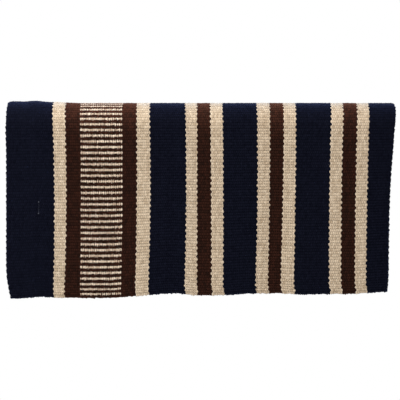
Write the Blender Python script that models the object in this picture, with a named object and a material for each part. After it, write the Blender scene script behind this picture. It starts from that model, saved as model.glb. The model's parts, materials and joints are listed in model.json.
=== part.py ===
"""Striped saddle blanket, hung in half over a round rail.

The blanket is one thick warp-faced cloth. Nineteen stripes of warp yarn run from hem to hem, and one
weft yarn runs back and forth inside all of them, turning back at each selvedge. A stripe is therefore
a flat sleeve of warp with the weft inside it: warp on both faces, closed where it turns round the
last pick at the hem. Each stripe and the weft are built in three lengths, over the crest and down
either side, because the cloth folds along two lines, one on each side of the rail.

Units are metres and +Z is up. X runs across the stripes, the near side hangs at -Y and the far side
at +Y. The origin is the point where the middle of the crest rests on the rail.
"""

import math

import bmesh
import bpy
from mathutils import Vector

# Cloth, yarn and weave
CLOTH_WIDTH = 0.864  # from selvedge to selvedge, across all the warp ends
WARP_LAYER = 0.00225  # the warp on each face of the cloth
WEFT_DIAMETER = 0.0039
PICK_PITCH = 0.00635  # from one run of the weft to the next: four picks to the inch
WEFT_CLEARANCE = 0.0003  # between the weft and the warp on either side of it
WEFT_TURN_PROUD = 0.0015  # how far the weft's turns stand out of the selvedge
STRIPE_GAP = 0.0003  # between two stripes
FOLD_GAP = 0.0003  # between the crest and each side
FOLD_WALL = 0.001  # warp that closes a sleeve at a fold line

# The warping plan, from the left selvedge to the right: colour and number of warp ends
WARPING_PLAN = (
    ("navy", 47),
    ("tan", 12),
    ("brown", 14),
    ("ladder", 42),
    ("brown", 13),
    ("tan", 14),
    ("navy", 34),
    ("tan", 13),
    ("brown", 13),
    ("tan", 12),
    ("navy", 33),
    ("tan", 13),
    ("brown", 13),
    ("tan", 13),
    ("navy", 33),
    ("tan", 12),
    ("brown", 14),
    ("tan", 12),
    ("navy", 27),
)

# How the cloth hangs
RAIL_RADIUS = 0.047  # the inside of the crest
NEAR_LENGTH = 0.3695  # fold line to hem, at mid-width
FAR_LENGTH = 0.3635
NEAR_HEM_SKEW = 0.013  # the near side is this much longer at the left selvedge than at the right
FAR_HEM_SKEW = -0.013  # what the near side gains, the far side loses
LEFT_SELVEDGE_INSET = 0.0105  # the near side's lower left corner draws in
RIGHT_SELVEDGE_INSET = 0.0155  # the near side's right edge draws in all the way down

# Where each selvedge draws in: share of the side's length, share of the inset
LEFT_INSET_SHARES = ((0.0, 0.0), (0.83, 0.0), (1.0, 1.0))
RIGHT_INSET_SHARES = ((0.0, 0.0), (0.5, 0.85), (1.0, 1.0))

# Facets
ARCH_STEPS = 14
HEM_STEPS = 4
TURN_STEPS = 3
WEFT_BEVEL_RESOLUTION = 1
SHARP_ANGLE = math.radians(40)  # edges that turn more than this stay crisp

# Finish of each yarn: linear red, green, blue, and roughness
YARNS = {
    "navy": ((0.0065, 0.0075, 0.014), 0.92),
    "tan": ((0.56, 0.44, 0.31), 0.9),
    "brown": ((0.026, 0.011, 0.0075), 0.92),
    "ladder": ((0.30, 0.22, 0.15), 0.9),
    "weft": ((0.008, 0.008, 0.013), 0.92),
}

# Sizes that follow from the ones above
SLEEVE_SLOT = WEFT_DIAMETER + 2 * WEFT_CLEARANCE
CLOTH_THICKNESS = SLEEVE_SLOT + 2 * WARP_LAYER
HALF_THICKNESS = CLOTH_THICKNESS / 2
END_PITCH = CLOTH_WIDTH / sum(ends for colour, ends in WARPING_PLAN)
CREST_RADIUS = RAIL_RADIUS + CLOTH_THICKNESS
WEFT_RADIUS = WEFT_DIAMETER / 2
FIRST_PICK = FOLD_WALL + WEFT_CLEARANCE + WEFT_RADIUS  # from a fold line to the nearest run of the weft


def interpolated(table, share):
    """The value that a table of (place, value) shares gives at a place, with straight lines between."""
    for (start, first), (end, last) in zip(table, table[1:]):
        if share <= end:
            return first + (last - first) * (share - start) / (end - start)
    return table[-1][1]


class Side:
    """One hanging side of the cloth. Its points are given as across, down from the fold, and depth."""

    def __init__(self, name, outward, length, hem_skew, left_inset, right_inset):
        self.name = name
        self.outward = outward
        self.length = length
        self.hem_skew = hem_skew
        self.left_inset = left_inset
        self.right_inset = right_inset

    def drawn_in(self, across, down):
        """Across, once the selvedge stripes have narrowed towards the hem."""
        first_stripe = END_PITCH * WARPING_PLAN[0][1]
        last_stripe = END_PITCH * WARPING_PLAN[-1][1]
        from_left = across + CLOTH_WIDTH / 2
        from_right = CLOTH_WIDTH / 2 - across
        if from_left < first_stripe:
            narrowing = interpolated(LEFT_INSET_SHARES, down / self.length)
            return across + self.left_inset * narrowing * (1 - from_left / first_stripe)
        if from_right < last_stripe:
            narrowing = interpolated(RIGHT_INSET_SHARES, down / self.length)
            return across - self.right_inset * narrowing * (1 - from_right / last_stripe)
        return across

    def place(self, across, down, depth):
        stretch = 1 - self.hem_skew / self.length * across / CLOTH_WIDTH
        return Vector(
            (
                self.drawn_in(across, down),
                self.outward * (CREST_RADIUS - depth),
                -RAIL_RADIUS - FOLD_GAP - down * stretch,
            )
        )


def place_on_crest(across, angle, depth):
    """A point of the crest: angle runs from the near fold line, at 0, to the far one, at half a turn."""
    radius = CREST_RADIUS - depth
    return Vector((across, -radius * math.cos(angle), radius * math.sin(angle) - RAIL_RADIUS))


def yarn_material(colour):
    rgb, roughness = YARNS[colour]
    material = bpy.data.materials.new(colour + "_yarn")
    material.use_nodes = True
    shader = material.node_tree.nodes["Principled BSDF"]
    shader.inputs["Base Color"].default_value = (*rgb, 1)
    shader.inputs["Roughness"].default_value = roughness
    shader.inputs["Metallic"].default_value = 0
    material.diffuse_color = (*rgb, 1)
    return material


def closed_loop(bm, points):
    """Vertices and edges of one closed outline, in cloth coordinates."""
    verts = [bm.verts.new(point) for point in points]
    return [bm.edges.new((a, b)) for a, b in zip(verts, verts[1:] + verts[:1])]


def sleeve(name, colour, left, right, outline, slot, place, parent):
    """A stripe of warp: the ring between two outlines of (along, depth), drawn out across the stripe."""
    bm = bmesh.new()
    rings = [closed_loop(bm, [(left, along, depth) for along, depth in loop]) for loop in (outline, slot)]
    wall = bmesh.ops.bridge_loops(bm, edges=rings[0] + rings[1])["faces"]
    drawn = bmesh.ops.extrude_face_region(bm, geom=wall, use_keep_orig=True)["geom"]
    for vert in drawn:
        if isinstance(vert, bmesh.types.BMVert):
            vert.co.x = right
    for vert in bm.verts:
        vert.co = place(*vert.co)
    bm.normal_update()
    bmesh.ops.recalc_face_normals(bm, faces=bm.faces)
    mesh = bpy.data.meshes.new(name)
    bm.to_mesh(mesh)
    bm.free()
    mesh.shade_smooth()
    mesh.set_sharp_from_angle(angle=SHARP_ANGLE)
    return add_piece(name, mesh, colour, parent)


def add_piece(name, data, colour, parent):
    data.materials.append(MATERIALS[colour])
    piece = bpy.data.objects.new(name, data)
    bpy.context.scene.collection.objects.link(piece)
    if parent is not None:
        piece.parent = parent
        piece.matrix_parent_inverse = parent.matrix_world.inverted()
    return piece


def crest_outlines():
    """The outline of a sleeve over the crest and of its slot, as (angle, depth)."""
    step = math.pi / ARCH_STEPS
    angles = [step * i for i in range(ARCH_STEPS + 1)]
    outline = [(angle, 0) for angle in angles]
    outline += [(angle, CLOTH_THICKNESS) for angle in reversed(angles)]
    wall = FOLD_WALL / (CREST_RADIUS - HALF_THICKNESS)
    slot_angles = [wall + (math.pi - 2 * wall) * i / ARCH_STEPS for i in range(ARCH_STEPS + 1)]
    # The flats of the slot's outer wall, and not its corners, keep the clearance to the weft.
    outer_wall = CREST_RADIUS - (CREST_RADIUS - WARP_LAYER) / math.cos(step / 2)
    slot = [(angle, outer_wall) for angle in slot_angles]
    slot += [(angle, WARP_LAYER + SLEEVE_SLOT) for angle in reversed(slot_angles)]
    return outline, slot


def side_outlines(side, stations):
    """The outline of a sleeve on one side and of its slot, as (down, depth), with the round turn at the hem."""
    centre = side.length - HALF_THICKNESS
    legs = [share * side.length for share in stations]
    turn = [math.pi * i / HEM_STEPS for i in range(HEM_STEPS + 1)]

    def loop(top, radius):
        front, back = HALF_THICKNESS - radius, HALF_THICKNESS + radius
        bend = [(centre + radius * math.sin(a), HALF_THICKNESS - radius * math.cos(a)) for a in turn]
        down_front = [(along, front) for along in [top] + legs]
        up_back = [(along, back) for along in reversed([top] + legs)]
        return down_front + bend + up_back

    return loop(0, HALF_THICKNESS), loop(FOLD_WALL, SLEEVE_SLOT / 2)


def weft_path(first, last, place):
    """The weft's centre line: runs across the cloth from first to last along it, joined by half turns."""
    gaps = max(1, round((last - first) / PICK_PITCH))
    pitch = (last - first) / gaps
    turn_radius = pitch / 2
    reach = CLOTH_WIDTH / 2 + WEFT_TURN_PROUD - WEFT_RADIUS - turn_radius
    points = [(-reach, first)]
    for run in range(gaps):
        end = 1 if run % 2 == 0 else -1
        for i in range(TURN_STEPS + 1):
            turned = math.pi * i / TURN_STEPS
            across = end * (reach + turn_radius * math.sin(turned))
            points.append((across, first + run * pitch + turn_radius * (1 - math.cos(turned))))
    points.append((reach if gaps % 2 == 0 else -reach, last))
    return [place(across, along, HALF_THICKNESS) for across, along in points], gaps + 1, pitch


def weft(name, first, last, place, parent):
    """One length of the weft yarn, unbroken from its first pick to its last."""
    points, picks, pitch = weft_path(first, last, place)
    curve = bpy.data.curves.new(name, "CURVE")
    curve.dimensions = "3D"
    curve.bevel_depth = WEFT_RADIUS
    curve.bevel_resolution = WEFT_BEVEL_RESOLUTION
    curve.use_fill_caps = True
    spline = curve.splines.new("POLY")
    spline.points.add(len(points) - 1)
    for target, point in zip(spline.points, points):
        target.co = (*point, 1)
    least_gap = (pitch - WEFT_DIAMETER) * 1000
    print(f"{name}: {picks} picks, {len(points)} points, least gap to itself {least_gap:.2f} mm")
    return add_piece(name, curve, "weft", parent)


def stripe_spans():
    """Number, colour and left and right edge of each stripe, with half a gap taken off each inner edge."""
    spans = []
    ends_before = 0
    for number, (colour, ends) in enumerate(WARPING_PLAN, start=1):
        left = ends_before * END_PITCH - CLOTH_WIDTH / 2
        right = left + ends * END_PITCH
        ends_before += ends
        left += STRIPE_GAP / 2 if number > 1 else 0
        right -= STRIPE_GAP / 2 if number < len(WARPING_PLAN) else 0
        spans.append((number, colour, left, right))
    return spans


def fold_empty(name, outward):
    """The parent of one hanging side, on the fold line that the side swings about."""
    empty = bpy.data.objects.new(name, None)
    empty.location = (0, outward * CREST_RADIUS, -RAIL_RADIUS)
    bpy.context.scene.collection.objects.link(empty)
    bpy.context.view_layer.update()
    return empty


def build_crest(spans):
    outline, slot = crest_outlines()
    for number, colour, left, right in spans:
        name = f"crest_stripe_{number:02d}_{colour}"
        sleeve(name, colour, left, right, outline, slot, place_on_crest, None)
    middle_radius = CREST_RADIUS - HALF_THICKNESS

    def place_along_crest(across, along, depth):
        return place_on_crest(across, along / middle_radius, depth)

    weft("crest_weft", FIRST_PICK, math.pi * middle_radius - FIRST_PICK, place_along_crest, None)


def build_side(side, spans):
    empty = fold_empty(side.name + "_side_fold", side.outward)
    for number, colour, left, right in spans:
        stations = ()
        if number == 1 and side.left_inset:
            stations = [share for share, inset in LEFT_INSET_SHARES[1:-1]]
        if number == len(spans) and side.right_inset:
            stations = [share for share, inset in RIGHT_INSET_SHARES[1:-1]]
        outline, slot = side_outlines(side, stations)
        name = f"{side.name}_stripe_{number:02d}_{colour}"
        sleeve(name, colour, left, right, outline, slot, side.place, empty)
    weft(side.name + "_weft", FIRST_PICK, side.length - HALF_THICKNESS, side.place, empty)


for old in list(bpy.data.objects):
    bpy.data.objects.remove(old)

MATERIALS = {colour: yarn_material(colour) for colour in YARNS}
NEAR = Side("near", -1, NEAR_LENGTH, NEAR_HEM_SKEW, LEFT_SELVEDGE_INSET, RIGHT_SELVEDGE_INSET)
FAR = Side("far", 1, FAR_LENGTH, FAR_HEM_SKEW, 0, 0)

stripes = stripe_spans()
build_crest(stripes)
build_side(NEAR, stripes)
build_side(FAR, stripes)
print(f"cloth {CLOTH_WIDTH * 1000:.0f} mm wide and {CLOTH_THICKNESS * 1000:.1f} mm thick")
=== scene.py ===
# %% [markdown]
# # A striped saddle blanket, hung in half over a rail
#
# The working model loaded here is plain: nineteen flat sleeves of warp over the crest and down either side,
# with one weft yarn inside them. It gives the sizes, the fold lines and the hinges. This scene weaves the
# cloth again at the scale of its yarn, so that each stripe is a surface of small rounded beads.
#
# The cloth is a warp-faced rib. The weft is thick and straight, the warp is crowded over it, and only warp
# shows. Where one warp end passes over a weft pick it makes a bead, and the beads of the next pick lie half
# a bead to the side, like bricks.

# %% Load the working model and keep its box
import json
import math

import bmesh
import bpy
import numpy as np
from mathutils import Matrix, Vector


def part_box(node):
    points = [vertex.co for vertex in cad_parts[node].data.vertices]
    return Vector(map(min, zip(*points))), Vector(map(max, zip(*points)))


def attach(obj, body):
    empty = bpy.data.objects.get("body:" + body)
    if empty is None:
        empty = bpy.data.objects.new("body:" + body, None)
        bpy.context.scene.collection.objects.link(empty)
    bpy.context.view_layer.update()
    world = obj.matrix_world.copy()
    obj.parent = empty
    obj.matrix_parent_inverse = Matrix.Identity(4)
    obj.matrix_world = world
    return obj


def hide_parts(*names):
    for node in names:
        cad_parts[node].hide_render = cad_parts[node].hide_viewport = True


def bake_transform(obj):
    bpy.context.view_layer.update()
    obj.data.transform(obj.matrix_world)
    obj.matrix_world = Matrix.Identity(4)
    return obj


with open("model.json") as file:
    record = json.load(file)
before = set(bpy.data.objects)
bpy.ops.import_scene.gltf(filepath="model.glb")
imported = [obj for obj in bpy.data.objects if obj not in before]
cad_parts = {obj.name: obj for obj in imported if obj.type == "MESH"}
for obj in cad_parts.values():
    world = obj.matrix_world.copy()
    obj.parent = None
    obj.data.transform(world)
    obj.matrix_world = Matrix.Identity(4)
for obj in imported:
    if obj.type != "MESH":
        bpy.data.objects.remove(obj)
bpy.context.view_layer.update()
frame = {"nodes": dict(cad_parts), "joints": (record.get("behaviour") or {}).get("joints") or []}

MM = 0.001

# %% [markdown]
# ## Sizes
#
# Each side of the blanket swings about its fold line, on the outer face of the cloth. The two fold lines
# give the radius of the crest, and the height of the fold line below the rail's top gives the inner radius.
# The edges of the stripes are read from the working model too. Only the yarn's own sizes are written here.

# %% Read the crest, the cloth and the stripes from the model
hinges = {joint["child"]: joint["pos_m"] for joint in frame["joints"]}
CREST_RADIUS = hinges["far_side"][1]
FOLD_Z = hinges["far_side"][2]
CLOTH_THICKNESS = CREST_RADIUS + FOLD_Z
CREST_ARC = CREST_RADIUS * math.pi / 2  # on the outer face, from the middle of the crest to a fold line

END_PITCH = 2.25 * MM  # from one warp end to the next
BEAD_WIDTH = 2 * END_PITCH  # a bead hides the end beside it
WEFT_DIAMETER = 3.9 * MM

stripes = []
for node in sorted(frame["nodes"]):
    if node.startswith("crest_stripe_"):
        low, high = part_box(node)
        label = node.removeprefix("crest_stripe_")
        stripes.append({"label": label, "yarn": label.split("_")[1], "left": low.x, "right": high.x})
for first, second in zip(stripes, stripes[1:]):
    first["right"] = second["left"] = (first["right"] + second["left"]) / 2
CLOTH_LEFT = stripes[0]["left"]
CLOTH_RIGHT = stripes[-1]["right"]
print(len(stripes), "stripes over", round((CLOTH_RIGHT - CLOTH_LEFT) / MM), "mm, cloth",
      round(CLOTH_THICKNESS / MM, 1), "mm thick")

# %% [markdown]
# ## How the cloth hangs
#
# A point of the cloth is given in the cloth's own terms: how far across it lies, how far along from the
# middle of the crest, and how deep below the outer face. One function bends those into the room. This is
# easier than draping a flat cloth with a simulation, because the weave has to stay square and crisp, and
# the photograph shows a cloth that hangs straight.
#
# No hand-hung blanket is exact. One hem is a little lower at the left, the right edge draws in on the way
# down, the edges of the stripes wander by a few millimetres, and the faces swell and sink a little.

# %% Where the hems and the selvedges run, in millimetres
# Near hem: across, and how far below the top of the rail
NEAR_HEM_MM = (
    (-432, 427.5), (-392, 426.7), (-375, 424.2), (-352, 422.4), (-334, 425), (-316, 425.8), (-286, 425),
    (-256, 426), (-199, 426), (-162, 423), (-130, 420.2), (-112, 418.9), (-90, 416.5), (-57, 414.6),
    (-38, 417), (-20, 419.8), (36, 420), (65, 419), (98, 416), (138, 415.9), (167, 414.8), (198, 417.6),
    (232, 418.2), (300, 416.4), (332, 416.8), (367, 415), (432, 411),
)
FAR_HEM_MM = (
    (-432, 406), (-330, 405), (-240, 408), (-130, 408.5), (-20, 411), (90, 410), (190, 413), (300, 413.5),
    (432, 415),
)
# Selvedges: along from the middle of the crest, and how far the edge is drawn in
NEAR_LEFT_MM = ((40, 0), (62, -0.6), (92, -1.2), (118, -0.7), (140, 0.2), (400, 0.2), (430, 4), (459, 10.5))
NEAR_RIGHT_MM = (
    (0, -2), (40, -2.4), (55, -2.1), (74, -0.4), (92, 1.6), (118, 3.2), (186, 8.5), (249, 12), (306, 14.5),
    (371, 15), (430, 16), (452, 18.5),
)
FAR_LEFT_MM = ((60, 0), (160, 3), (280, 4), (430, 3), (452, 5))
FAR_RIGHT_MM = ((60, 0), (200, 2), (330, 5), (430, 6), (452, 9))
# Across, and how far the last few rows before the near hem are pulled to the right
HEM_PULL_MM = (
    (-432, 0.4), (-200, 0.8), (-140, 1.4), (0, 2.2), (150, 2.2), (220, 3.2), (370, 2.6), (410, 0.5), (432, 0),
)
HEM_PULL_ALONG = (438 * MM, 456 * MM)  # where the pull begins, and where it is full
print("the near hem hangs", min(drop for _, drop in NEAR_HEM_MM), "to", max(drop for _, drop in NEAR_HEM_MM),
      "mm below the rail's top")

# %% Where the edges between the stripes run, and how the crest lies
# How far each edge between two stripes stands to the right of its straight line on the near side, in
# millimetres: at the crest, half way down and at the hem
STRIPE_DRIFT_MM = (
    (-3.5, 1.5, -1), (-2.5, 1, -3.5), (-2.2, 0.5, -2), (-2, -1.2, -4.9), (1.5, 2, -1.5), (-1, 0.8, -3.8),
    (2, 4, 0), (-1.3, -1, -1.5), (-1.2, 1, 1.5), (-0.5, 1, 0.5), (1.7, 2.5, -2.5), (1.3, 0.2, -3.8),
    (2.3, 0.3, -5), (0.5, -1.4, -4.6), (5, 0.3, -0.3), (5, 0, -0.6), (4.6, -0.2, -1.6), (4.2, -1.3, -3.8),
)
DRIFT_ALONG_MM = (249, 447)  # where the second and the third value lie, at 0 and 1 of the curve
DRIFT_HELD_AT = -1.03  # the first lies at -1, and from a little above it the curve is held
FAR_DRIFT_FROM = 45 * MM  # on the far side the first value fades to none, from here
FAR_DRIFT_OVER = 180 * MM  # and over this length
# On every other row each of those edges stands a little to one side. A stripe with an even number of ends has
# the same side at both its edges and zigzags; one with an odd number is by turns wide and narrow.
EDGE_SIDES = (-1, -1, 1, 1, -1, -1, -1, 1, 1, -1, -1, -1, -1, 1, 1, 1, 1, -1)
# Across, and how far the crest stands off the rail: it is a little rumpled over the left selvedge
CREST_RISE_MM = (
    (-432, 3.6), (-414, 5.4), (-392, 3), (-372, 7.6), (-350, 3), (-316, 3), (-298, 1.6), (-284, 0.8),
    (432, 0.8),
)
SELVEDGE_CURL = 2.2 * MM  # how far the selvedge curls in
SELVEDGE_CURL_WIDTH = 8 * MM
# Three gentle waves in the hanging faces: the height, what a radian takes across and along, and the phase
SWELL_WAVES_MM = ((0.9, 47, 160, 0), (0.7, 83, -71, 2), (0.3, 21, math.inf, 1))
SWELL_OVER = 120 * MM  # they grow to their full height over this length below the fold line
print("edges between stripes:", len(STRIPE_DRIFT_MM), "and the crest's highest rise:",
      max(rise for _, rise in CREST_RISE_MM), "mm")

# %% Two helpers for such tables
TABLE_ROUNDING_MM = 14  # how far to either side of a place a table is averaged
TABLE_SAMPLES = 7


def from_table(table, place):
    """The value of a table of (place, value) in millimetres, rounded off at its corners, in metres."""
    places, values = np.array(table, float).T * MM
    reach = np.linspace(-1, 1, TABLE_SAMPLES) * TABLE_ROUNDING_MM * MM
    return np.mean([np.interp(place + step, places, values) for step in reach], axis=0)


def smooth_step(value):
    """0 below 0 and 1 above 1, with a smooth rise between."""
    value = np.clip(value, 0, 1)
    return value * value * (3 - 2 * value)


print("drop of the near hem in the middle:", round(float(from_table(NEAR_HEM_MM, 0)) / MM, 1), "mm")

# %% One half of the blanket, from the middle of the crest to a hem
class Half:
    """The near or the far half. It is outward -1 or 1 along y, and has its picks, hem and selvedges."""

    def __init__(self, name, outward, start, picks, hem, left, right):
        self.name = name
        self.outward = outward
        self.start = start
        self.picks = picks
        self.hem = hem
        self.left = left
        self.right = right
        self.middle_drop = float(from_table(hem, 0)) + FOLD_Z
        self.end = CREST_ARC + self.middle_drop

    def drift(self, edge, along):
        """How far one edge between stripes wanders: a curve through its three values."""
        top, middle, hem = (value * MM for value in STRIPE_DRIFT_MM[edge])
        if self.outward > 0:
            return top * (1 - smooth_step((along - FAR_DRIFT_FROM) / FAR_DRIFT_OVER))
        half_way, at_hem = DRIFT_ALONG_MM
        share = np.clip((along / MM - half_way) / (at_hem - half_way), DRIFT_HELD_AT, 1)
        return middle + (hem - top) / 2 * share + ((hem + top) / 2 - middle) * share**2

    def edges(self, number, along):
        """The left and right edge of a stripe, all the way along."""
        stripe = stripes[number]
        if number == 0:
            left = CLOTH_LEFT + from_table(self.left, along)
        else:
            left = stripe["left"] + self.drift(number - 1, along)
        if number == len(stripes) - 1:
            right = CLOTH_RIGHT - from_table(self.right, along)
        else:
            right = stripe["right"] + self.drift(number, along)
        return left, right

    def swell(self, across, along):
        """How far the hanging face stands out from flat."""
        down = smooth_step((along - CREST_ARC) / SWELL_OVER)
        x, y = across / MM, along / MM
        return down * MM * sum(
            height * np.sin(x / wide + y / long + phase) for height, wide, long, phase in SWELL_WAVES_MM
        )

    def place(self, across, along, depth):
        """Bends a point of the cloth over the crest and down the side."""
        angle = np.clip(along / CREST_RADIUS, None, math.pi / 2)
        rise = from_table(CREST_RISE_MM, across) * np.cos(angle) ** 2
        edge = np.minimum(across - CLOTH_LEFT, CLOTH_RIGHT - from_table(self.right, along) - across)
        curl = SELVEDGE_CURL * np.clip(1 - edge / SELVEDGE_CURL_WIDTH, 0, 1) ** 2
        radius = CREST_RADIUS - depth - curl + self.swell(across, along)
        stretch = (from_table(self.hem, across) + FOLD_Z) / self.middle_drop
        drop = np.clip(along - CREST_ARC, 0, None) * stretch
        if self.outward < 0:
            low, high = HEM_PULL_ALONG
            across = across + from_table(HEM_PULL_MM, across) * smooth_step((along - low) / (high - low))
        y = self.outward * radius * np.sin(angle)
        z = FOLD_Z + radius * np.cos(angle) + rise - drop
        return np.stack([across, y, z], axis=-1)


HALVES_MEET = 2.6 * MM  # the near half starts this far down the near face, between two picks
NEAR_PICKS = 74  # counted on the ladder's bars
FAR_PICKS = 73
near = Half("near", -1, HALVES_MEET, NEAR_PICKS, NEAR_HEM_MM, NEAR_LEFT_MM, NEAR_RIGHT_MM)
far = Half("far", 1, -HALVES_MEET, FAR_PICKS, FAR_HEM_MM, FAR_LEFT_MM, FAR_RIGHT_MM)
for half in (near, far):
    print(half.name, "half:", round((half.end - half.start) / MM), "mm long,", half.picks, "picks")

# %% [markdown]
# ## The picks
#
# The weft lies in straight runs, called picks. They are evenly beaten, a little closer near the hem, and
# the warp turns round the last one. On the cloth's faces each pick is one row of beads.

# %% Where each row of beads starts along the cloth
TIGHT_PICKS = 6  # rows before the hem's own that are beaten closer and closer
TIGHT_SHARES = (0.95, 0.8)  # the last rows against a usual one
HEM_SHARE = 1.45  # the row that turns round the hem
HEM_RADIUS = CLOTH_THICKNESS / 2


def row_edges(half):
    """Path along the outer face to each row's start, ending at the lowest point of the hem's round turn."""
    shares = np.ones(half.picks)
    shares[-1 - TIGHT_PICKS:-1] = np.linspace(*TIGHT_SHARES, TIGHT_PICKS)
    shares[-1] = HEM_SHARE
    edges = np.concatenate([[0], np.cumsum(shares)])
    length = half.end - half.start + HEM_RADIUS * (math.pi / 2 - 1)
    return half.start + edges / edges[-1] * length


def on_band(half, path, layer, lift):
    """Along and depth of a point of either face: the path runs down the face and into the round hem."""
    straight = half.end - HEM_RADIUS
    turned = np.clip((path - straight) / HEM_RADIUS, 0, math.pi / 2)
    side = np.where(layer == 1, 1, -1)
    reach = HEM_RADIUS + lift
    along = np.where(path > straight, straight + reach * np.sin(turned), path)
    return along, HEM_RADIUS + side * reach * np.cos(turned)


USUAL_ROW = np.diff(row_edges(near))[0]
print("a usual row on the near face is", round(USUAL_ROW / MM, 2), "mm")

# %% [markdown]
# ## The weave
#
# Each stripe is one closed piece. It starts as a flat grid with a few faces to a bead, more of them in the
# pale stripes, where they show. The grid is extruded once, which gives the inner face and the walls, and
# the two faces are welded at the hem. Every vertex is then moved to its place on a bead: up on the crown,
# down in the grooves, and half a bead to the side on every other row, so that the stripe's edge comes out
# scalloped as the real one does.

# %% Grid of one stripe, counted in steps
ACROSS_STEPS = {"navy": 4, "brown": 4, "tan": 6, "ladder": 6}  # to a bead
ALONG_STEPS = 3  # to a row


def sleeve_grid(beads, rows, across_steps):
    """A closed box on a grid: x counts steps across, y steps along, and z is 0 outside and 1 inside."""
    bm = bmesh.new()
    wide, long = beads * across_steps, rows * ALONG_STEPS
    bmesh.ops.create_grid(bm, x_segments=wide, y_segments=long, size=0.5)
    bmesh.ops.translate(bm, verts=bm.verts, vec=(0.5, 0.5, 0))
    bmesh.ops.scale(bm, verts=bm.verts, vec=(wide, long, 1))
    inner = bmesh.ops.extrude_face_region(bm, geom=bm.faces[:], use_keep_orig=True)["geom"]
    inner = [item for item in inner if isinstance(item, bmesh.types.BMVert)]
    bmesh.ops.translate(bm, verts=inner, vec=(0, 0, 1))
    hem = [vert for vert in bm.verts if vert.co.y > long - 0.5]
    bmesh.ops.scale(bm, verts=hem, vec=(1, 1, 0))
    bmesh.ops.remove_doubles(bm, verts=hem, dist=0.01)
    bmesh.ops.recalc_face_normals(bm, faces=bm.faces)
    mesh = bpy.data.meshes.new("sleeve")
    bm.to_mesh(mesh)
    bm.free()
    return mesh


trial = sleeve_grid(2, 2, 4)
print("a trial sleeve of 2 x 2 beads has", len(trial.vertices), "points and", len(trial.polygons), "faces")
bpy.data.meshes.remove(trial)

# %% Each point of the grid, counted in beads and rows
class Grid:
    """Where the points of one stripe's flat grid lie. Layer 0 is the outer face and the hem, 1 the inner."""

    def __init__(self, half, number, mesh):
        places = np.empty(len(mesh.vertices) * 3, np.float32)
        mesh.vertices.foreach_get("co", places)
        self.column, step, self.layer = np.rint(places.reshape(-1, 3)).astype(int).T
        self.half = half
        self.number = number
        self.is_ladder = stripes[number]["yarn"] == "ladder"
        self.across_steps = ACROSS_STEPS[stripes[number]["yarn"]]
        self.columns = self.column.max()
        self.beads = self.columns // self.across_steps
        self.bead = np.minimum(self.column // self.across_steps, self.beads - 1)
        self.row = np.minimum(step // ALONG_STEPS, half.picks - 1)
        self.station = step % ALONG_STEPS
        self.at_hem = step == half.picks * ALONG_STEPS
        self.at_tips = (self.station == 0) & ~self.at_hem  # between two rows, where the beads' tips meet
        self.at_start = step == 0
        self.parity = np.where((self.row + self.layer + half.picks) % 2 == 0, 1, -1)
        self.turn = self.column / self.across_steps * math.pi  # half a turn to a bead
        self.tip = np.sin(2 * self.turn)


trial_mesh = sleeve_grid(2, near.picks, ACROSS_STEPS["navy"])
trial_grid = Grid(near, 0, trial_mesh)
trial_rng = np.random.default_rng(1)
print("a trial stripe has", trial_grid.beads, "beads across and", trial_grid.row.max() + 1, "rows")

# %% [markdown]
# ## The ladder
#
# In the ladder stripe the warp is threaded one end tan, one end brown. Wherever the tan ends are up the row
# is a tan bar, and on the next pick the brown ends are up. The brown rows bulge over the tan a little, so
# the bars are the narrower. Here the same weave is used with two yarns, chosen row by row. In a few bars
# one end is slack, and the brown shows beside it.

# %% Which rows are tan, and where the brown shows through
LADDER_TAN_SHORT = 0.1  # how much of a row a tan one falls short at either end
# Slack ends: how many beads lie to the left of the gap, its rows, and how many steps it takes to either side
SLACK_ENDS = (
    (12, (12, 14, 16), 2), (18, (38, 40, 42), 1), (9, (46, 48), 1),
    (11, (72,), 2), (16, (72,), 2), (18, (72,), 1),
)
SLACK_SHARE = 0.1  # of the other places between two beads, where a thin gap shows


def is_tan_row(half, row):
    """The near half's first row is tan, the far half's first is brown, so the bars go on over the crest."""
    return (row % 2 == 0) if half.outward < 0 else (row % 2 == 1)


def ladder_slots(half, column, row, inner, rng):
    """0 for a face of tan yarn and 1 for brown. The inner face shows the other ends."""
    tan = is_tan_row(half, row) ^ inner
    slots = np.where(tan, 0, 1)
    nearest = np.rint(column / ACROSS_STEPS["ladder"]).astype(int)
    from_nearest = np.abs(column - nearest * ACROSS_STEPS["ladder"])
    slack = rng.random((row.max() + 1, nearest.max() + 1)) < SLACK_SHARE
    slots[slack[row, nearest] & (from_nearest < 1)] = 1
    if half.outward < 0:
        for bead, rows, reach in SLACK_ENDS:
            slots[(nearest == bead) & (from_nearest < reach) & np.isin(row, rows) & ~inner] = 1
    return slots


print("tan rows:", sum(is_tan_row(half, row) for half in (near, far) for row in range(half.picks)))

# %% [markdown]
# ## The beads
#
# A bead is a short arch of yarn, round across and tapered at both tips, which reach between the beads of the
# next row. No two are quite alike, because hand-thrown yarn varies and the beater never falls the same way
# twice. So each bead differs a little in height, each groove strays to the side and each tip strays along.

# %% Bead sizes
BEAD_HEIGHT = 1.15 * MM
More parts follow.
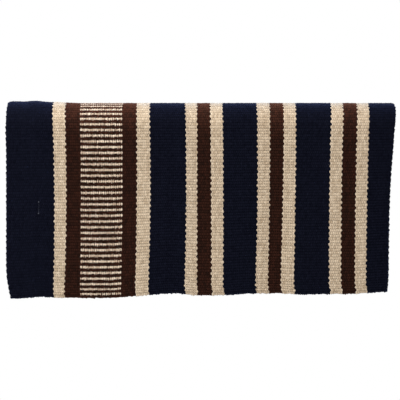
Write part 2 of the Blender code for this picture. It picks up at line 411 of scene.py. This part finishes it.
# Height of the groove beside a bead, against its crown: the least and the most. The ladder's are lower,
# because there the ends between the beads are down and of the other colour.
GROOVE_SHARES = (0.2, 0.5)
LADDER_GROOVE_SHARES = (0.0, 0.35)
SHOULDER = 0.65  # the power of the arch across a bead: less than 1 is fuller than a sine
TIP_SHARES = (0.14, 0.38)  # heights between two rows: in a groove and at a bead's tip
ROW_STATIONS = np.array([0.0, 0.3, 0.7])  # where the three steps of a row lie
INTERLOCK = 1.0 * MM  # how far a bead's tip reaches between two beads of the next row
UNEVEN = 0.2  # how much beads differ in height
HEM_UNEVEN = 0.6  # the loops of the hem, which nothing beats into line, differ more
JAGGED = 0.4 * MM  # how far the tips of the beads stray along
LADDER_JAGGED = 1.0 * MM  # more, so that the ladder's bars have rough edges
SIDEWAYS = 0.4 * MM  # how far a groove between two beads strays to the side
LADDER_SIDEWAYS = 0.9 * MM  # more, because every other end there is down and lets its neighbours spread
STRAY_LIMIT = 2.2  # times that, and no further, so that two grooves never cross
SCALLOP_BEADS = 1.5  # so many beads from the right edge, the left edge's scallop gives way to its own
print("a bead is", BEAD_WIDTH / MM, "mm wide and", BEAD_HEIGHT / MM, "mm high")

# %% How far along the cloth each point lies
def rows_along(grid, rng):
    """The path to each point, with the tips of the beads reaching between one another."""
    half, rows = grid.half, grid.half.picks
    half_bead = grid.column * 2 // grid.across_steps
    stray = rng.standard_normal((2, rows + 1, 2 * grid.beads + 1))[grid.layer, grid.row, half_bead]
    stray = stray * (LADDER_JAGGED if grid.is_ladder else JAGGED)
    edges = row_edges(half)
    if grid.is_ladder:
        shift = LADDER_TAN_SHORT * USUAL_ROW * np.where(is_tan_row(half, np.arange(rows + 1)), 1, -1)
        shift[0] = shift[-1] = 0
        edges = edges + shift
    path = edges[grid.row] + (edges[grid.row + 1] - edges[grid.row]) * ROW_STATIONS[grid.station]
    path = np.where(grid.at_hem, edges[rows], path)
    reach = grid.parity * INTERLOCK * grid.tip + stray * np.abs(grid.tip)
    return path + np.where(grid.at_tips & ~grid.at_start, reach, 0)


trial_path = rows_along(trial_grid, trial_rng)
print("the trial stripe reaches", round(float(trial_path.max()) / MM, 1), "mm from the middle of the crest")

# %% How high each point lies on its bead
def bead_crowns(grid, rng):
    """1 on a bead's crown, and less in the grooves beside it and at its tips."""
    nearest = np.rint(grid.column / grid.across_steps).astype(int)
    closed = rng.random((2, grid.half.picks, grid.beads + 1))
    closed[:, :, 0] = closed[:, :, -1] = 0.5
    shares = LADDER_GROOVE_SHARES if grid.is_ladder else GROOVE_SHARES
    groove = np.interp(closed[grid.layer, grid.row, nearest], (0, 1), shares)
    arch = groove + (1 - groove) * np.abs(np.sin(grid.turn)) ** SHOULDER
    low, high = TIP_SHARES
    return np.where(grid.at_tips, low + (high - low) * np.abs(grid.tip), arch)


trial_crown = np.round(bead_crowns(trial_grid, trial_rng), 2)
print("heights on its beads: from", trial_crown.min(), "to", trial_crown.max())

# %% How far to the side each point lies
def edge_strays(half, edge):
    """How far the edge between two stripes strays, row by row: the same numbers for both of its stripes."""
    edge_rng = np.random.default_rng((edge, half.picks))
    return SIDEWAYS * edge_rng.standard_normal((2, half.picks))


def side_steps(grid, rng):
    """Half an end to one side and the other by turns of the rows, and a groove's own stray."""
    strays = rng.standard_normal((2, grid.half.picks, grid.beads + 1))
    if grid.is_ladder:
        strays = LADDER_SIDEWAYS * np.clip(strays, -STRAY_LIMIT, STRAY_LIMIT)
    else:
        strays = SIDEWAYS * strays
    strays[:, :, 0] = edge_strays(grid.half, grid.number)
    strays[:, :, -1] = edge_strays(grid.half, grid.number + 1)
    share = grid.column / grid.across_steps - grid.bead
    left_stray = strays[grid.layer, grid.row, grid.bead]
    right_stray = strays[grid.layer, grid.row, grid.bead + 1]
    stray = left_stray * (1 - share) + right_stray * share
    sides = [1, *EDGE_SIDES, 1][grid.number:grid.number + 2]
    side = np.interp(grid.columns - grid.column, (0, SCALLOP_BEADS * grid.across_steps), sides[::-1])
    return np.where(grid.at_tips | grid.at_hem, 0, grid.parity * side * END_PITCH / 2 + stray)


trial_side = side_steps(trial_grid, trial_rng)
print("its points move to the side by up to", round(float(np.abs(trial_side).max()) / MM, 2), "mm")

# %% Move the grid of one stripe to its place
def weave(half, number, mesh, rng):
    """Weaves one stripe. Returns each point's height on its bead, its place in beads across, and its path."""
    grid = Grid(half, number, mesh)
    spread = np.where(np.arange(half.picks) == half.picks - 1, HEM_UNEVEN, UNEVEN)[:, None]
    uneven = spread * rng.standard_normal((2, half.picks, grid.beads))
    path = rows_along(grid, rng)
    crown = bead_crowns(grid, rng)
    lift = BEAD_HEIGHT * (crown * (1 + uneven[grid.layer, grid.row, grid.bead]) - 0.5)
    along, depth = on_band(half, path, grid.layer, lift)
    left, right = half.edges(number, along)
    across = left + (right - left) * grid.column / grid.columns + side_steps(grid, rng)
    points = half.place(across, along, depth)
    mesh.vertices.foreach_set("co", points.astype(np.float32).ravel())
    return crown, grid.column / grid.across_steps, path


weave(near, 0, trial_mesh, trial_rng)
lowest = min(vert.co.z for vert in trial_mesh.vertices)
print("woven in the first stripe's place, its hem hangs", round(-lowest / MM, 1), "mm below the rail's top")
bpy.data.meshes.remove(trial_mesh)

# %% [markdown]
# ## Yarn
#
# The yarn is a matt spun wool and acrylic blend, two plies twisted together and dyed in the hank. Spun
# fibre gives almost no mirror reflection. It gives a soft lightening where the surface turns away, from the
# loose hairs that catch the light, which is what sheen is for. The grooves between beads are deeper on real
# cloth than any model needs, so painted shade darkens the colour towards them and along the lines between
# the plies. Over the fold, where the light from above falls fullest, a painted highlight lifts the colour.
# It makes the brown plainly paler, hardly shows on tan and is left off navy.

# %% Two helpers for materials
def linear(colour):
    """A hex colour as it is written for the screen, turned into the linear values that a shader takes."""
    parts = [int(colour[i:i + 2], 16) / 255 for i in (1, 3, 5)]
    return [part / 12.92 if part <= 0.04045 else ((part + 0.055) / 1.055) ** 2.4 for part in parts] + [1]


def add(tree, kind, inputs=None, **settings):
    """Adds a node with its settings. An input is a value, or the output that feeds it."""
    node = tree.nodes.new("ShaderNode" + kind)
    for name, value in settings.items():
        setattr(node, name, value)
    for socket, value in (inputs or {}).items():
        if isinstance(value, bpy.types.NodeSocket):
            tree.links.new(value, node.inputs[socket])
        else:
            node.inputs[socket].default_value = value
    return node


print("mid grey, linear:", round(linear("#808080")[0], 3))

# %% Patterns of spun yarn, in the weave's own map: one unit is the width of a bead
WAVE_BAND = math.pi / 10  # how long one band of a wave texture is, in its own units at a scale of 1
PLY_CROSSING = 1.77 * MM  # from one ply to the next
PLY_SLANT = math.radians(32)
FIBRES_PER_BEAD = 26  # fibre bundles of about 0.17 mm, as fine as a close view can show
FIBRE_DRAWN_OUT = 0.25  # they are four times as long as wide
PATCHES_PER_BEAD = 0.11  # uneven dye, in patches of about 40 mm


def yarn_patterns(tree):
    """The twist of the plies, the fibre bundles and the patches of dye, each from 0 to 1."""
    weave_map = add(tree, "UVMap", uv_map="weave").outputs[0]
    slanted = add(tree, "Mapping", {"Vector": weave_map, "Rotation": (0, 0, PLY_SLANT)}).outputs[0]
    ply_scale = round(WAVE_BAND * BEAD_WIDTH / PLY_CROSSING, 2)
    plies = add(tree, "TexWave", {"Vector": slanted, "Scale": ply_scale, "Distortion": 1.2,
                                  "Detail": 1, "Detail Scale": 1.5}, bands_direction="Y")
    drawn = add(tree, "Mapping", {"Vector": slanted, "Scale": (FIBRE_DRAWN_OUT, 1, 1)}).outputs[0]
    fibre = add(tree, "TexNoise", {"Vector": drawn, "Scale": FIBRES_PER_BEAD, "Detail": 3, "Roughness": 0.65})
    patches = add(tree, "TexNoise", {"Vector": weave_map, "Scale": PATCHES_PER_BEAD, "Detail": 2})
    return plies.outputs["Fac"], fibre.outputs["Fac"], patches.outputs["Fac"]


print("fibre bundles:", round(BEAD_WIDTH / FIBRES_PER_BEAD / MM, 2), "mm")

# %% Colour of spun yarn
FIBRE_SHADE = 0.55  # how much the fibre bundles move the colour between a yarn's dark and its light
PATCH_SHADE = 0.5  # how much the patches of dye do
SHADE_RANGE = (0.15, 0.95)  # those two and the bead's tone, summed: what gives the dark and what the light
LIT_CROWN = 0.8  # the height on a bead above which no shadow lies
PLY_LIT = 0.5  # the part of a ply's rise above which the same holds
PLY_SHADOW = 0.72  # what the line between two plies keeps of the colour
FOLD_HIGHLIGHT_LEAST = 0.7  # how much of the painted highlight over the fold lies between the fibre bundles
FOLD_HIGHLIGHT_ON_FIBRE = 0.6  # and how much more on them


def yarn_colour(tree, plies, fibre, patches, light, dark, groove, painted_highlight):
    """Two colours by fibre, dye and bead, with painted shade in grooves and twist, and a painted fold
    highlight.
    """
    tone, crown, fold = (
        add(tree, "Attribute", attribute_name=name).outputs["Fac"] for name in ("tone", "crown", "fold")
    )
    shade = add(tree, "Math", {0: fibre, 1: FIBRE_SHADE, 2: tone}, operation="MULTIPLY_ADD").outputs[0]
    shade = add(tree, "Math", {0: patches, 1: PATCH_SHADE, 2: shade}, operation="MULTIPLY_ADD").outputs[0]
    low, high = SHADE_RANGE
    shade = add(tree, "MapRange", {"Value": shade, "From Min": low, "From Max": high}).outputs[0]
    colour = add(tree, "Mix", {0: shade, 6: linear(dark), 7: linear(light)}, data_type="RGBA").outputs[2]

    # Painted shade: the colour darkens from a bead's crown down to the groove's share at the bottom of a
    # groove
    height = add(tree, "MapRange", {"Value": crown, "From Min": 0.0, "From Max": LIT_CROWN}).outputs[0]
    deepest = [groove] * 3 + [1]
    shadow = add(tree, "Mix", {0: height, 6: deepest, 7: (1, 1, 1, 1)}, data_type="RGBA").outputs[2]
    # Painted shade along the lines between the plies
    twist = add(tree, "MapRange", {"Value": plies, "From Max": PLY_LIT, "To Min": PLY_SHADOW}).outputs[0]
    shadow = add(tree, "VectorMath", {0: shadow, "Scale": twist}, operation="SCALE").outputs[0]
    shaded = add(tree, "Mix", {0: 1.0, 6: colour, 7: shadow}, data_type="RGBA", blend_type="MULTIPLY")

    # Painted highlight over the fold, a little stronger on the fibre bundles
    highlight_scale = add(tree, "Math", {0: fibre, 1: FOLD_HIGHLIGHT_ON_FIBRE, 2: FOLD_HIGHLIGHT_LEAST}, operation="MULTIPLY_ADD")
    highlight_scale = add(tree, "Math", {0: highlight_scale.outputs[0], 1: fold}, operation="MULTIPLY").outputs[0]
    highlight_scale = add(tree, "Math", {0: highlight_scale, 1: painted_highlight, 2: 1.0}, operation="MULTIPLY_ADD").outputs[0]
    return add(tree, "VectorMath", {0: shaded.outputs[2], "Scale": highlight_scale}, operation="SCALE").outputs[0]


print("the line between two plies keeps", PLY_SHADOW, "of the colour")

# %% The yarns
PLY_RELIEF = 0.25 * MM  # how far a ply stands up beside the line to the next
FIBRE_RELIEF = 0.12 * MM


def spun_yarn(name, light, dark, groove, sheen, tint, specular, painted_highlight):
    """A matt yarn: rough, with next to no mirror reflection, and a soft tinted sheen from its loose hairs."""
    material = bpy.data.materials.new(name)
    material.use_nodes = True
    tree = material.node_tree
    shader = tree.nodes["Principled BSDF"]
    plies, fibre, patches = yarn_patterns(tree)
    colour = yarn_colour(tree, plies, fibre, patches, light, dark, groove, painted_highlight)
    relief = add(tree, "Bump", {"Height": plies, "Strength": 0.5, "Distance": PLY_RELIEF}).outputs[0]
    relief = add(tree, "Bump", {"Height": fibre, "Strength": 0.5, "Distance": FIBRE_RELIEF, "Normal": relief})
    tree.links.new(colour, shader.inputs["Base Color"])
    tree.links.new(relief.outputs[0], shader.inputs["Normal"])
    shader.inputs["Roughness"].default_value = 0.93
    shader.inputs["Specular IOR Level"].default_value = specular
    shader.inputs["Sheen Weight"].default_value = sheen
    shader.inputs["Sheen Roughness"].default_value = 0.5
    shader.inputs["Sheen Tint"].default_value = linear(tint)
    material.diffuse_color = linear(light)
    return material


# In each yarn, groove is what the painted shade leaves of the colour at the bottom of a groove, and the last
# number is the strength of the painted highlight over the fold
YARNS = {
    # Navy: all but black face on, and blue where the hairs catch the light
    "navy": spun_yarn("navy_spun_yarn", "#13141e", "#0b0b12", groove=0.22, sheen=0.33, tint="#4a62a8",
                      specular=0.02, painted_highlight=0.0),
    # Tan: pale enough that light gets into its grooves, so they stay fairly light
    "tan": spun_yarn("tan_spun_yarn", "#e4cdaf", "#bea586", groove=0.38, sheen=0.68, tint="#b4dcff",
                     specular=0.1, painted_highlight=0.06),
    # Brown: dark chocolate, with painted shade that makes its grooves black
    "brown": spun_yarn("brown_spun_yarn", "#341c14", "#1f120d", groove=0.0, sheen=0.22, tint="#f0a894",
                       specular=0.02, painted_highlight=1.0),
    # The ladder's tan: a little paler, with deep painted shade in its grooves, where brown ends
    # lie down between its beads
    "ladder_tan": spun_yarn("tan_spun_yarn_between_brown", "#f6dfc5", "#cdb197", groove=0.06, sheen=0.4,
                            tint="#b8d8ff", specular=0.1, painted_highlight=0.0),
}
print("yarns:", ", ".join(material.name for material in YARNS.values()))

# %% [markdown]
# ## Weaving the stripes
#
# Each stripe of each half becomes one piece. Its mesh carries four things for the yarn: a map whose unit is
# one bead, a tone that differs a little from bead to bead and from end to end, the height on the bead, which
# sets the painted shade in the grooves, and how near the fold is, where the painted highlight lies. The crest
# stays on the rail and a side can be lifted, but the piece is not split between them. It is a sheet of
# cloth, woven to a flat size.


def hang(piece):
    """Bakes a piece's place into its mesh."""
    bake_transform(piece)


def new_piece(name, mesh, materials):
    """Puts a finished mesh in the scene, with its place in the mesh and the object at the origin."""
    mesh.name = name
    for material in materials:
        mesh.materials.append(material)
    piece = bpy.data.objects.new(name, mesh)
    bpy.context.scene.collection.objects.link(piece)
    return piece


# %% What the mesh carries for the yarn
USUAL_TONE = 0.05  # the mean tone of a bead, which is added to the shade of its yarn
BEAD_TONES = {"navy": 0.15, "brown": 0.2, "tan": 0.18, "ladder": 0.35}  # how much the beads differ in tone
END_TONE = 0.07  # how much the ends do, all the way along
FOLD_HIGHLIGHT = (30 * MM, 130 * MM)  # how far from the middle of the crest the painted highlight over the fold is full, and where it ends


def face_places(mesh, half, beads, across_steps):
    """Each face's column, whether it is on the inner side, its row and its bead. The grid is still flat."""
    centres = np.empty(len(mesh.polygons) * 3, np.float32)
    mesh.polygons.foreach_get("center", centres)
    column, step, layer = centres.reshape(-1, 3).T
    row = np.clip(step // ALONG_STEPS, 0, half.picks - 1).astype(int)
    bead = np.clip(column // across_steps, 0, beads - 1).astype(int)
    return column, layer > 0.5, row, bead


def write_values(mesh, name, domain, values):
    """Stores one number for each face or each point."""
    mesh.attributes.new(name, "FLOAT", domain).data.foreach_set("value", values.astype(np.float32))


def write_map(mesh, across, along):
    """Stores the weave's own map, whose unit is one bead."""
    corner = np.empty(len(mesh.loops), np.int32)
    mesh.loops.foreach_get("vertex_index", corner)
    places = np.stack([across, along], axis=1)[corner].astype(np.float32)
    mesh.uv_layers.new(name="weave").data.foreach_set("uv", places.ravel())


# The painted highlight over the fold reaches this far from the middle of the crest
print("lint lies up to", round(FOLD_HIGHLIGHT[1] / MM), "mm from the middle of the crest")

# %% Make the stripes
FLAT_STATIONS = 40  # places along a stripe at which its width is taken


def woven_stripe(half, number, rng):
    """One stripe of one half, as a finished piece of cloth."""
    stripe = stripes[number]
    beads = max(1, math.floor((stripe["right"] - stripe["left"]) / BEAD_WIDTH + 0.5))
    across_steps = ACROSS_STEPS[stripe["yarn"]]
    mesh = sleeve_grid(beads, half.picks, across_steps)
    column, inner, row, bead = face_places(mesh, half, beads, across_steps)
    crown, across, path = weave(half, number, mesh, rng)

    layer = inner.astype(int)
    each_bead = BEAD_TONES[stripe["yarn"]] * rng.standard_normal((2, half.picks, beads))[layer, row, bead]
    each_end = END_TONE * rng.standard_normal((2, 2, beads))[layer, row % 2, bead]
    # 1 near the middle of the crest, where the painted highlight over the fold is full, fading to 0 further
    # down
    fold = 1 - smooth_step((path - FOLD_HIGHLIGHT[0]) / (FOLD_HIGHLIGHT[1] - FOLD_HIGHLIGHT[0]))
    write_values(mesh, "tone", "FACE", USUAL_TONE + each_bead + each_end)
    write_values(mesh, "crown", "POINT", crown)
    write_values(mesh, "fold", "POINT", fold)
    write_map(mesh, across, path / BEAD_WIDTH)

    if stripe["yarn"] == "ladder":
        slots = ladder_slots(half, column, row, inner, rng)
        mesh.polygons.foreach_set("material_index", slots.astype(np.int32))
        materials = [YARNS["ladder_tan"], YARNS["brown"]]
    else:
        materials = [YARNS[stripe["yarn"]]]
    if half.outward > 0:
        mesh.flip_normals()
    mesh.shade_smooth()
    piece = new_piece(f"{half.name}_half_stripe_{stripe['label']}", mesh, materials)
    hang(piece)
    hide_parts("crest_stripe_" + stripe["label"], f"{half.name}_stripe_{stripe['label']}")
    left, right = half.edges(number, np.linspace(half.start, half.end, FLAT_STATIONS))
    return piece


rng = np.random.default_rng(34)
cloth = [woven_stripe(half, number, rng) for half in (near, far) for number in range(len(stripes))]
print(len(cloth), "pieces of cloth,", sum(len(piece.data.polygons) for piece in cloth), "faces")

# %% [markdown]
# ## The weft
#
# The weft is one thick yarn that goes back and forth inside the cloth and turns round the last warp end at
# each selvedge. Only those turns show, one for every two picks. The whole yarn is made, as one unbroken
# tube for each half, because a row of loose rings would be a different thing.

# %% Weft yarn
WEFT_FIBRES_PER_MM = 1.4  # coarse bundles of about 0.7 mm


def weft_material():
    """Thick singles yarn, nearly black, seen only at the selvedges: coarse, matt and a little hairy."""
    material = bpy.data.materials.new("weft_spun_yarn")
    material.use_nodes = True
    tree = material.node_tree
    shader = tree.nodes["Principled BSDF"]
    place = add(tree, "TexCoord").outputs["Object"]
    scale = WEFT_FIBRES_PER_MM / MM
    fibre = add(tree, "TexNoise", {"Vector": place, "Scale": scale, "Detail": 3}).outputs["Fac"]
    colour = add(tree, "Mix", {0: fibre, 6: linear("#0c0d13"), 7: linear("#1c1e2a")}, data_type="RGBA")
    relief = add(tree, "Bump", {"Height": fibre, "Strength": 0.6, "Distance": 0.2 * MM}).outputs[0]
    tree.links.new(colour.outputs[2], shader.inputs["Base Color"])
    tree.links.new(relief, shader.inputs["Normal"])
    shader.inputs["Roughness"].default_value = 0.95
    shader.inputs["Specular IOR Level"].default_value = 0.05
    shader.inputs["Sheen Weight"].default_value = 0.05
    shader.inputs["Sheen Tint"].default_value = linear("#5a6b98")
    return material


WEFT_FINISH = weft_material()
print("made", WEFT_FINISH.name)

# %% Run the weft through each half
WEFT_PROUD = 1.2 * MM  # how far its turns stand out of the selvedge
RUN_SHARES = np.linspace(0, 1, 12)[1:-1]  # places along a straight run
TURN_ANGLES = np.radians(np.linspace(0, 180, 9))  # places round a half turn


def tube(name, points, radius, sides):
    """A round tube along points, as a mesh."""
    curve = bpy.data.curves.new(name, "CURVE")
    curve.dimensions = "3D"
    curve.bevel_depth = radius
    curve.bevel_resolution = sides
    curve.use_fill_caps = True
    spline = curve.splines.new("POLY")
    spline.points.add(len(points) - 1)
    spline.points.foreach_set("co", np.hstack([points, np.ones((len(points), 1))]).astype(np.float32).ravel())
    carrier = bpy.data.objects.new(name + "_line", curve)
    bpy.context.scene.collection.objects.link(carrier)
    mesh = bpy.data.meshes.new_from_object(carrier.evaluated_get(bpy.context.evaluated_depsgraph_get()))
    bpy.data.objects.remove(carrier)
    bpy.data.curves.remove(curve)
    return mesh


def weft_line(half):
    """The middle of the yarn, run by run, with a half turn at alternate selvedges."""
    edges = row_edges(half)
    centres = (edges[1:] + edges[:-1]) / 2
    centres[-1] = half.end - HEM_RADIUS
    points = []
    for pick, along in enumerate(centres):
        left, _ = half.edges(0, along)
        _, right = half.edges(len(stripes) - 1, along)
        turn = (centres[pick + 1] - along) / 2 if pick + 1 < len(centres) else USUAL_ROW / 2
        inset = WEFT_DIAMETER / 2 + turn - WEFT_PROUD
        left, right = left + inset, right - inset
        to_right = pick % 2 == 0
        shares = RUN_SHARES if to_right else RUN_SHARES[::-1]
        points += [(left + (right - left) * share, along) for share in shares]
        if pick + 1 < len(centres):
            end, way = (right, 1) if to_right else (left, -1)
            points += [
                (end + way * turn * math.sin(angle), along + turn * (1 - math.cos(angle)))
                for angle in TURN_ANGLES
            ]
    across, along = np.array(points).T
    return half.place(across, along, CLOTH_THICKNESS / 2)


for half in (near, far):
    mesh = tube(f"{half.name}_half_weft", weft_line(half), WEFT_DIAMETER / 2, sides=2)
    mesh.shade_smooth()
    piece = new_piece(f"{half.name}_half_weft", mesh, [WEFT_FINISH])
    hang(piece)
    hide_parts("crest_weft", half.name + "_weft")
    print(piece.name, "has", len(mesh.polygons), "faces")

# %% [markdown]
# ## A stitch in the left stripe
#
# A short length of fine grey thread lies on the left navy stripe of the near side, fastened at both ends
# with a small knot. A maker may leave one after a repair. The photograph shows it faintly, so its size is
# a guess.

# %% Sewing thread
THREAD_TWIST = 1.05 * MM  # from one turn of its plies to the next


def thread_material():
    """Fine polyester sewing thread: smoother than the wool, so it takes a little more shine."""
    material = bpy.data.materials.new("grey_sewing_thread")
    material.use_nodes = True
    tree = material.node_tree
    shader = tree.nodes["Principled BSDF"]
    place = add(tree, "TexCoord").outputs["Object"]
    scale = round(2 * WAVE_BAND / THREAD_TWIST, -1)  # along one axis a diagonal band is twice as long
    twist = add(tree, "TexWave", {"Vector": place, "Scale": scale, "Distortion": 1},
                bands_direction="DIAGONAL")
    colour = add(tree, "Mix", {0: twist.outputs["Fac"], 6: linear("#262830"), 7: linear("#3f424e")},
                 data_type="RGBA")
    tree.links.new(colour.outputs[2], shader.inputs["Base Color"])
    shader.inputs["Roughness"].default_value = 0.6
    shader.inputs["Specular IOR Level"].default_value = 0.3
    return material


THREAD_FINISH = thread_material()
print("made", THREAD_FINISH.name)

# %% Lay the thread on the cloth
THREAD_RADIUS = 0.2 * MM
THREAD_ACROSS = -359.5 * MM
THREAD_ALONG = (252 * MM, 277 * MM)
THREAD_POINTS = 24
THREAD_WANDER = 0.5 * MM  # how far it lies off a straight line
THREAD_BEND = 5  # over how much of a wave, in radians
THREAD_LIFTS = (0.5, 0.12)  # its height over the cloth, and how far it dips between rows, in bead heights
KNOT_RADIUS = 1.5 * MM
KNOT_SHAPE = (1, 0.6, 1.2)


def stitch_thread():
    """The thread with its two knots, as one mesh."""
    start, end = THREAD_ALONG
    shares = np.linspace(0, 1, THREAD_POINTS)
    across = THREAD_ACROSS + THREAD_WANDER * np.sin(shares * THREAD_BEND)
    lift, dip = THREAD_LIFTS
    out = BEAD_HEIGHT * (lift + dip * np.cos(shares * (end - start) / USUAL_ROW * 2 * math.pi))
    line = near.place(across, start + (end - start) * shares, -out)
    bm = bmesh.new()
    mesh = tube("thread", line, THREAD_RADIUS, sides=1)
    bm.from_mesh(mesh)
    bpy.data.meshes.remove(mesh)
    for point in (line[0], line[-1]):
        knot = bmesh.ops.create_icosphere(bm, subdivisions=2, radius=KNOT_RADIUS)["verts"]
        bmesh.ops.scale(bm, verts=knot, vec=KNOT_SHAPE)
        bmesh.ops.translate(bm, verts=knot, vec=point)
    mesh = bpy.data.meshes.new("near_stitch_thread")
    bm.to_mesh(mesh)
    bm.free()
    mesh.shade_smooth()
    return mesh


thread = new_piece("near_stitch_thread", stitch_thread(), [THREAD_FINISH])
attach(thread, "near_side")
print(thread.name, "is", round((THREAD_ALONG[1] - THREAD_ALONG[0]) / MM), "mm long")

# %% [markdown]
# ## Floor, light and camera
#
# The photograph is a plain catalogue view: straight on, from far away, on white, lit from above and in
# front. A long lens from four and a half metres gives the same flat view. The main light is a wide soft
# lamp high in front, a little to the left, which brightens the cloth where it turns over the rail. A weak
# one in front and one behind fill the shade, in an even pale surround. The surround looks white to the
# camera and in reflections, and lights the cloth with less than half of that strength.

# %% Surround
AMBIENT = 0.42  # strength of the surround as a light

world = bpy.data.worlds.new("pale_surround")
world.use_nodes = True
bpy.context.scene.world = world
tree = world.node_tree
rays = add(tree, "LightPath").outputs
seen = add(tree, "Math", {0: rays["Is Camera Ray"], 1: rays["Is Glossy Ray"]}, operation="MAXIMUM").outputs[0]
seen = add(tree, "Math", {0: seen, 1: rays["Is Transmission Ray"]}, operation="MAXIMUM").outputs[0]
level = add(tree, "MapRange", {"Value": seen, "To Min": AMBIENT, "To Max": 1.0}).outputs[0]
background = tree.nodes["Background"]
background.inputs["Color"].default_value = (1, 1, 1, 1)
tree.links.new(level, background.inputs["Strength"])
print("the surround lights at", AMBIENT, "and looks white")

# %% Floor
FLOOR_Z = -0.86
FLOOR_RADIUS = 1.6
FLOOR_PATCHES_PER_M = 8  # faint patches of about 125 mm, as a rolled coat of paint has

bm = bmesh.new()
bmesh.ops.create_circle(bm, cap_ends=True, segments=96, radius=FLOOR_RADIUS)
bmesh.ops.translate(bm, verts=bm.verts, vec=(0, 0, FLOOR_Z))
floor_mesh = bpy.data.meshes.new("floor")
bm.to_mesh(floor_mesh)
bm.free()
floor_finish = bpy.data.materials.new("pale_matt_floor")
floor_finish.use_nodes = True
tree = floor_finish.node_tree
place = add(tree, "TexCoord").outputs["Object"]
grain = add(tree, "TexNoise", {"Vector": place, "Scale": FLOOR_PATCHES_PER_M}).outputs["Fac"]
pale = add(tree, "Mix", {0: grain, 6: linear("#eeeeee"), 7: linear("#f4f4f4")}, data_type="RGBA").outputs[2]
tree.links.new(pale, tree.nodes["Principled BSDF"].inputs["Base Color"])
tree.nodes["Principled BSDF"].inputs["Roughness"].default_value = 0.9
floor = new_piece("floor", floor_mesh, [floor_finish])
print("floor at", FLOOR_Z, "m, below the frame of the picture")

# %% Lamps
def soft_lamp(name, place, aim, size, watts):
    """A rectangular soft box that looks at a point."""
    data = bpy.data.lights.new(name, "AREA")
    data.shape = "RECTANGLE"
    data.size, data.size_y = size
    data.energy = watts
    lamp = bpy.data.objects.new(name, data)
    lamp.location = place
    turn = Vector(aim) - lamp.location
    lamp.rotation_euler = turn.to_track_quat("-Z", "Y").to_euler()
    bpy.context.scene.collection.objects.link(lamp)
    return lamp


KEY_ACROSS = -1.1  # the key lamp stands to the left, so the fold is a little brighter there
BLANKET_MIDDLE = (0, 0, -0.2)
lamps = [
    soft_lamp("key_above_front", (KEY_ACROSS, -0.7, 1.35), (KEY_ACROSS, 0, -0.2), size=(3.0, 0.7), watts=50),
    soft_lamp("fill_front", (-0.1, -3.4, -0.1), BLANKET_MIDDLE, size=(2.5, 2.0), watts=22),
    soft_lamp("fill_back", (0, 2.2, 1.7), BLANKET_MIDDLE, size=(2.2, 1.2), watts=45),
]
print("lamps, W:", {lamp.name: lamp.data.energy for lamp in lamps})

# %% Camera
PHOTO_SIZE = 400  # pixels
MM_PER_PIXEL = 2.2205  # at the near face
CAMERA_DISTANCE = 4.5
CAMERA_HEIGHT = -0.208
ZERO_COLUMN = 200.65  # the pixel column of the blanket's middle

camera_data = bpy.data.cameras.new("camera")
camera_data.lens = camera_data.sensor_width * CAMERA_DISTANCE / (PHOTO_SIZE * MM_PER_PIXEL * MM)
camera = bpy.data.objects.new("camera", camera_data)
camera.location = (
    (PHOTO_SIZE / 2 - ZERO_COLUMN) * MM_PER_PIXEL * MM,
    -CREST_RADIUS - CAMERA_DISTANCE,
    CAMERA_HEIGHT,
)
camera.rotation_euler = (math.radians(90), 0, 0)
bpy.context.scene.collection.objects.link(camera)
bpy.context.scene.camera = camera
bpy.context.scene.view_settings.view_transform = "Standard"
print("lens", round(camera_data.lens, 1), "mm")
